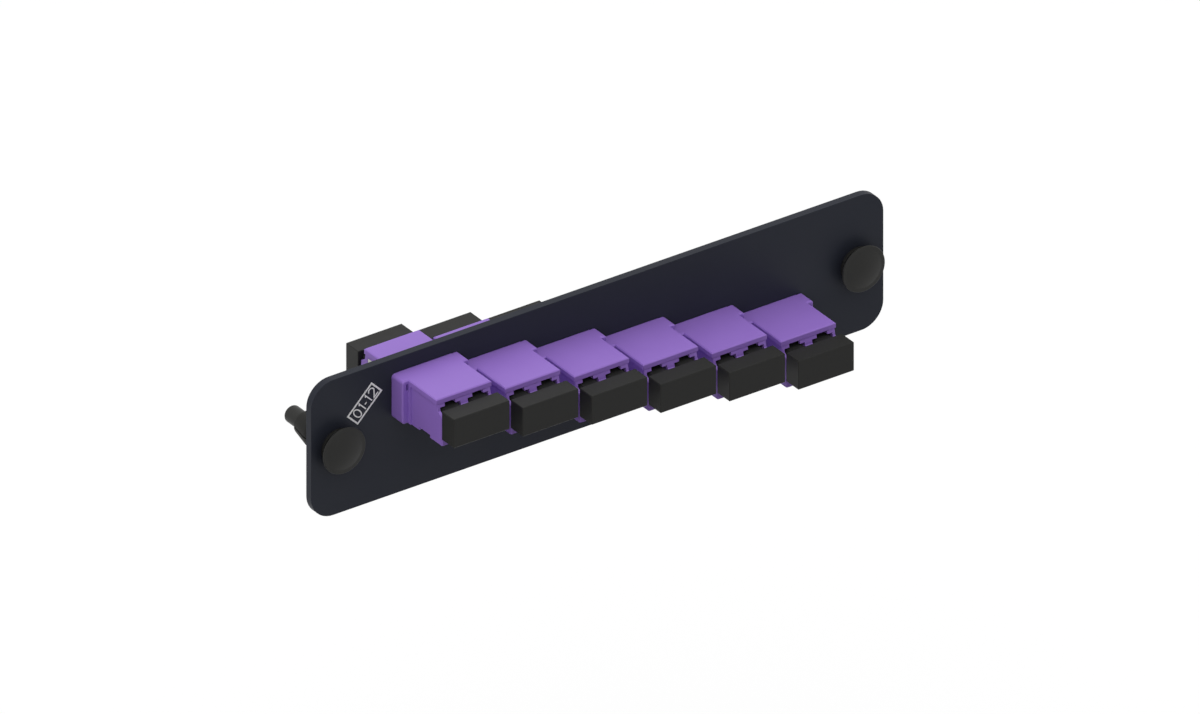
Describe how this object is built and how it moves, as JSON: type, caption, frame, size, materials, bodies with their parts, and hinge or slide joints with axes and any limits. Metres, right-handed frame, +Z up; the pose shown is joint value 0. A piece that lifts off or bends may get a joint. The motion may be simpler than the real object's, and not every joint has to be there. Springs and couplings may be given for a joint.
{
  "type": "fibre adapter panel",
  "caption": "Snap-in panel for fibre links: a rounded black plate with a stepped row of violet duplex adapters, black dust caps and push-pull latches",
  "frame": {"origin": "centre of the plate's back face, where the panel seats on its enclosure", "axes": "+X along the plate towards its right end seen from the front, +Y from the plate's back face into the enclosure, +Z up; the front of the panel faces -Y"},
  "size_m": [0.13, 0.0351, 0.029],
  "materials": {
    "panel_paint": "black powder coat on sheet steel, faint grain, satin",
    "adapter_violet": "violet moulded plastic, satin, very fine moulded grain",
    "holder_white": "natural white moulded plastic, satin",
    "sleeve_ceramic": null,
    "cap_black": "black moulded plastic, satin",
    "latch_black": "black moulded nylon, satin",
    "print_white": "white screen-printed ink, matt"
  },
  "bodies": {
    "panel": {"panel_plate": "panel_paint", "adapter_1_front_shell": "adapter_violet", "adapter_2_front_shell": "adapter_violet", "adapter_3_front_shell": "adapter_violet", "adapter_4_front_shell": "adapter_violet", "adapter_5_front_shell": "adapter_violet", "adapter_6_front_shell": "adapter_violet", "adapter_1_rear_shell": "adapter_violet", "adapter_2_rear_shell": "adapter_violet", "adapter_3_rear_shell": "adapter_violet", "adapter_4_rear_shell": "adapter_violet", "adapter_5_rear_shell": "adapter_violet", "adapter_6_rear_shell": "adapter_violet", "adapter_1_sleeve_holder": "holder_white", "adapter_2_sleeve_holder": "holder_white", "adapter_3_sleeve_holder": "holder_white", "adapter_4_sleeve_holder": "holder_white", "adapter_5_sleeve_holder": "holder_white", "adapter_6_sleeve_holder": "holder_white", "adapter_1_sleeves": "sleeve_ceramic", "adapter_2_sleeves": "sleeve_ceramic", "adapter_3_sleeves": "sleeve_ceramic", "adapter_4_sleeves": "sleeve_ceramic", "adapter_5_sleeves": "sleeve_ceramic", "adapter_6_sleeves": "sleeve_ceramic", "left_latch_grommet": "latch_black", "right_latch_grommet": "latch_black"},
    "front_dust_cap_1": {"front_dust_cap_1": "cap_black"},
    "rear_dust_cap_1": {"rear_dust_cap_1": "cap_black"},
    "front_dust_cap_2": {"front_dust_cap_2": "cap_black"},
    "rear_dust_cap_2": {"rear_dust_cap_2": "cap_black"},
    "front_dust_cap_3": {"front_dust_cap_3": "cap_black"},
    "rear_dust_cap_3": {"rear_dust_cap_3": "cap_black"},
    "front_dust_cap_4": {"front_dust_cap_4": "cap_black"},
    "rear_dust_cap_4": {"rear_dust_cap_4": "cap_black"},
    "front_dust_cap_5": {"front_dust_cap_5": "cap_black"},
    "rear_dust_cap_5": {"rear_dust_cap_5": "cap_black"},
    "front_dust_cap_6": {"front_dust_cap_6": "cap_black"},
    "rear_dust_cap_6": {"rear_dust_cap_6": "cap_black"},
    "left_latch_plunger": {"left_latch_plunger": "latch_black"},
    "right_latch_plunger": {"right_latch_plunger": "latch_black"}
  },
  "joints": [
    {"name": "front_dust_cap_1_pull", "type": "slide", "parent": "panel", "child": "front_dust_cap_1", "axis": [0, -1, 0], "range_m": [0, 0.012]},
    {"name": "rear_dust_cap_1_pull", "type": "slide", "parent": "panel", "child": "rear_dust_cap_1", "axis": [0, 1, 0], "range_m": [0, 0.012]},
    {"name": "front_dust_cap_2_pull", "type": "slide", "parent": "panel", "child": "front_dust_cap_2", "axis": [0, -1, 0], "range_m": [0, 0.012]},
    {"name": "rear_dust_cap_2_pull", "type": "slide", "parent": "panel", "child": "rear_dust_cap_2", "axis": [0, 1, 0], "range_m": [0, 0.012]},
    {"name": "front_dust_cap_3_pull", "type": "slide", "parent": "panel", "child": "front_dust_cap_3", "axis": [0, -1, 0], "range_m": [0, 0.012]},
    {"name": "rear_dust_cap_3_pull", "type": "slide", "parent": "panel", "child": "rear_dust_cap_3", "axis": [0, 1, 0], "range_m": [0, 0.012]},
    {"name": "front_dust_cap_4_pull", "type": "slide", "parent": "panel", "child": "front_dust_cap_4", "axis": [0, -1, 0], "range_m": [0, 0.012]},
    {"name": "rear_dust_cap_4_pull", "type": "slide", "parent": "panel", "child": "rear_dust_cap_4", "axis": [0, 1, 0], "range_m": [0, 0.012]},
    {"name": "front_dust_cap_5_pull", "type": "slide", "parent": "panel", "child": "front_dust_cap_5", "axis": [0, -1, 0], "range_m": [0, 0.012]},
    {"name": "rear_dust_cap_5_pull", "type": "slide", "parent": "panel", "child": "rear_dust_cap_5", "axis": [0, 1, 0], "range_m": [0, 0.012]},
    {"name": "front_dust_cap_6_pull", "type": "slide", "parent": "panel", "child": "front_dust_cap_6", "axis": [0, -1, 0], "range_m": [0, 0.012]},
    {"name": "rear_dust_cap_6_pull", "type": "slide", "parent": "panel", "child": "rear_dust_cap_6", "axis": [0, 1, 0], "range_m": [0, 0.012]},
    {"name": "left_latch_plunger_pull", "type": "slide", "parent": "panel", "child": "left_latch_plunger", "axis": [0, -1, 0], "range_m": [0, 0.0045]},
    {"name": "right_latch_plunger_pull", "type": "slide", "parent": "panel", "child": "right_latch_plunger", "axis": [0, -1, 0], "range_m": [0, 0.0045]}
  ]
}
